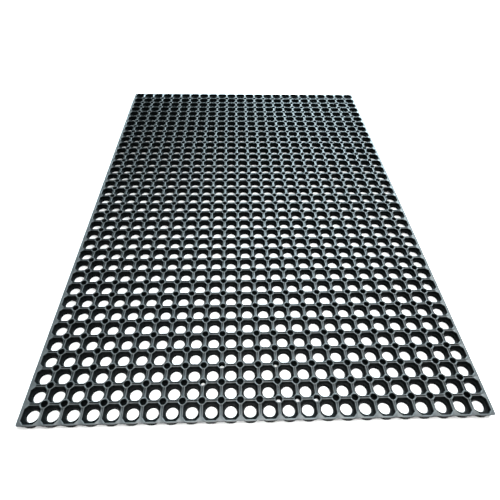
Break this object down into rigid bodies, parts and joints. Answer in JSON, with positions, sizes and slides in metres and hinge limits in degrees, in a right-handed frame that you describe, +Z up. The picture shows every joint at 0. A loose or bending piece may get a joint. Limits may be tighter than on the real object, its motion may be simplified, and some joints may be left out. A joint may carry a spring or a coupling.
{
  "type": "rubber drainage mat",
  "caption": "Black moulded rubber drainage mat, pierced by a close grid of octagonal openings that narrow to round mouths, with small sockets between them.",
  "frame": {"origin": "middle of the underside, on the floor that the mat lies on", "axes": "+X across the mat's width, +Y along its length, +Z up through its thickness"},
  "size_m": [1, 1.5, 0.016],
  "materials": {
    "rubber": "matt moulded"
  },
  "bodies": {
    "root": {"near_half": "rubber", "far_half": "rubber"}
  },
  "joints": []
}
